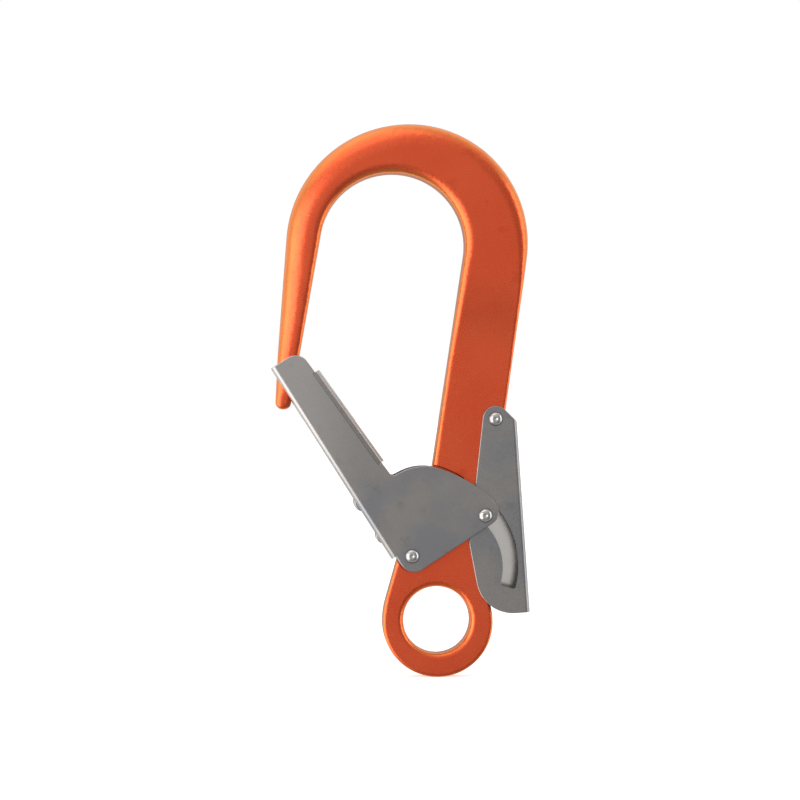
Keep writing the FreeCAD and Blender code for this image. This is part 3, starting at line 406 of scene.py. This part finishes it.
def wire(name, path, radius):
    """Round spring wire along the path, with its cut ends slightly broken."""
    sections = wire_sections(path, radius)
    points = []
    for centre, forward, across, size in sections:
        other = forward.cross(across)
        for k in range(WIRE_SIDES):
            turn = 2 * math.pi * k / WIRE_SIDES
            points.append(centre + (across * math.cos(turn) + other * math.sin(turn)) * size)
    faces = []
    for i in range(len(sections) - 1):
        for k in range(WIRE_SIDES):
            here = i * WIRE_SIDES
            after = (k + 1) % WIRE_SIDES
            faces.append((here + k, here + after, here + WIRE_SIDES + after, here + WIRE_SIDES + k))
    faces.append(tuple(reversed(range(WIRE_SIDES))))
    end = (len(sections) - 1) * WIRE_SIDES
    faces.append(tuple(range(end, end + WIRE_SIDES)))
    mesh = bpy.data.meshes.new(name)
    mesh.from_pydata(points, [], faces)
    mesh.update()
    piece = bpy.data.objects.new(name, mesh)
    scene.collection.objects.link(piece)
    mesh.materials.append(looks["spring_steel"])
    smooth(piece)
    return piece


def gate_spring():
    """Two coils on the gate's pivot, and the bail between them that pushes on the gate's web."""
    pivot = pivots["gate_hinge"]
    bail_angle = ARM_ANGLE + 90
    bail_path = []
    for side, label in ((-1, "front"), (1, "back")):
        outer = side * GATE_COIL_OUTER
        inner = side * GATE_COIL_INNER
        path = winding(pivot, GATE_COIL, bail_angle, GATE_COIL_END, outer, inner)
        path.append(path[-1] + way(ANCHOR_ANGLE + 90) * ANCHOR_LENGTH)
        coil = wire("gate_spring_" + label + "_coil", path, GATE_WIRE)
        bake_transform(coil)
        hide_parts("gate_return_spring")
        root = around(pivot, GATE_COIL, bail_angle, outer)
        tip = around(pivot, GATE_COIL + BAIL_GAP, bail_angle, outer) + way(ARM_ANGLE) * BAIL_REACH
        bail_path.append((root, tip))
    (low_root, low_tip), (high_root, high_tip) = bail_path
    path = [low_root]
    path += rounded_corner(low_root, low_tip, high_tip, BAIL_CORNER)
    path += rounded_corner(low_tip, high_tip, high_root, BAIL_CORNER)
    path.append(high_root)
    bail = wire("gate_spring_bail", path, GATE_WIRE)
    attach(bail, "gate_arm")
    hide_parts("gate_return_spring")


def lever_spring():
    """One coil on the lever's pivot, with a foot in the body and a leg on the lever's web."""
    pivot = pivots["lever_hinge"]
    path = winding(pivot, LEVER_COIL, LEVER_LEG_ANGLE, LEVER_COIL_END, LEVER_COIL_OUTER, LEVER_COIL_INNER)
    path.insert(0, path[0] + way(LEVER_LEG_ANGLE - 90) * LEVER_LEG)
    path.append(path[-1] + way(LEVER_FOOT_WAY) * LEVER_FOOT)
    coil = wire("lever_spring_coil", path, LEVER_WIRE)
    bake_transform(coil)
    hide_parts("lever_return_spring")


gate_spring()
lever_spring()


# ---------------------------------------------------------------- floor, light and camera

FLOOR_SIDE = 30
FLOOR_GLOW = 0.5


def plain_floor():
    low = cad_low.z
    bpy.ops.mesh.primitive_plane_add(size=FLOOR_SIDE, location=(0, 0, low))
    floor = bpy.context.object
    floor.name = "floor"
    material, tree, shader = new_material("floor_white")
    where = place(tree)
    soft = noise(tree, where, 0.4, 2)
    link(tree, mixed(tree, soft, (0.90, 0.90, 0.90), (0.93, 0.93, 0.93)), shader.inputs["Base Color"])
    shader.inputs["Roughness"].default_value = 0.8
    shader.inputs["Emission Color"].default_value = (1, 1, 1, 1)
    shader.inputs["Emission Strength"].default_value = FLOOR_GLOW
    floor.data.materials.append(material)
    floor.visible_glossy = False
    floor.visible_shadow = False


# The tent's shades: the direction of each, the cosines where it starts and is full, and its level
TENT_SHADES = {
    "front": ((0.10, -0.98, 0.10), 0.3, 0.95, 0.86),
    "dark_right": ((0.78, -0.60, 0.0), 0.60, 0.95, 0.50),
    "under": ((0.1, -0.55, -0.82), 0.45, 0.9, 0.50),
    "backdrop": ((0.0, 1.0, 0.0), -0.35, 0.45, 1.6),
    "straight_behind": ((0.0, 1.0, 0.0), 0.7, 0.95, 0.38),
}
TENT_LEVEL = 0.9


def world_light():
    """A light tent: bright at the back, darker in front, to the right, underneath and straight behind."""
    world = bpy.data.worlds.new("tent")
    scene.world = world
    world.use_nodes = True
    tree = world.node_tree
    tree.nodes.clear()
    out = tree.nodes.new("ShaderNodeOutputWorld")
    back = tree.nodes.new("ShaderNodeBackground")
    seen = tree.nodes.new("ShaderNodeBackground")
    seen.inputs["Color"].default_value = (1, 1, 1, 1)
    seen.inputs["Strength"].default_value = 1.0
    direction = tree.nodes.new("ShaderNodeTexCoord").outputs["Generated"]

    def shade(side, start, full, level):
        facing = tree.nodes.new("ShaderNodeVectorMath")
        facing.operation = "DOT_PRODUCT"
        link(tree, direction, facing.inputs[0])
        facing.inputs[1].default_value = Vector(side).normalized()
        return mapped(tree, facing.outputs["Value"], start, full, 1.0, level)

    level = TENT_LEVEL
    for settings in TENT_SHADES.values():
        level = math_node(tree, "MULTIPLY", level, shade(*settings))
    link(tree, level, back.inputs["Strength"])
    mix = tree.nodes.new("ShaderNodeMixShader")
    path = tree.nodes.new("ShaderNodeLightPath")
    link(tree, path.outputs["Is Camera Ray"], mix.inputs["Fac"])
    link(tree, back.outputs["Background"], mix.inputs[1])
    link(tree, seen.outputs["Background"], mix.inputs[2])
    link(tree, mix.outputs["Shader"], out.inputs["Surface"])


def softbox(name, location, target, width, height, level):
    """A soft light of that size, as bright as level times a plain white tent wall."""
    data = bpy.data.lights.new(name, "AREA")
    data.shape = "RECTANGLE"
    data.size = width
    data.size_y = height
    data.energy = level * math.pi * width * height
    light = bpy.data.objects.new(name, data)
    scene.collection.objects.link(light)
    light.location = location
    aim = Vector(target) - Vector(location)
    light.rotation_mode = "QUATERNION"
    light.rotation_quaternion = aim.to_track_quat("-Z", "Y")


# Softboxes: where each stands from the hook's middle, its width and height in metres, and its level
SOFTBOXES = {
    "key": ((-1.0, -0.8, -0.15), 1.35, 1.6, 1.8),
    "fill": ((1.1, -0.35, 0.1), 0.4, 1.3, 2.0),
    "top": ((-0.4, -0.35, 1.1), 1.3, 1.0, 0.6),
}

PHOTO_CENTRE = Vector((-15.7 * MM, 0, 95.3 * MM))
CAMERA_AZIMUTH = math.radians(-2.5)
CAMERA_ELEVATION = math.radians(0)
CAMERA_DISTANCE = 1.2
FRAME_SIDE = 348 * MM
SENSOR = 36.0


def photo_camera():
    data = bpy.data.cameras.new("camera")
    camera = bpy.data.objects.new("camera", data)
    scene.collection.objects.link(camera)
    flat = math.cos(CAMERA_ELEVATION)
    back = Vector((math.sin(CAMERA_AZIMUTH) * flat, -math.cos(CAMERA_AZIMUTH) * flat,
                   math.sin(CAMERA_ELEVATION)))
    camera.location = PHOTO_CENTRE + back * CAMERA_DISTANCE
    camera.rotation_mode = "QUATERNION"
    camera.rotation_quaternion = (-back).to_track_quat("-Z", "Y")
    data.sensor_width = SENSOR
    data.lens = SENSOR * CAMERA_DISTANCE / FRAME_SIDE
    data.dof.use_dof = False
    scene.camera = camera


plain_floor()
world_light()
middle = (cad_low + cad_high) / 2
for name, (offset, width, height, level) in SOFTBOXES.items():
    softbox(name, middle + Vector(offset), middle, width, height, level)
photo_camera()
scene.view_settings.view_transform = "Standard"
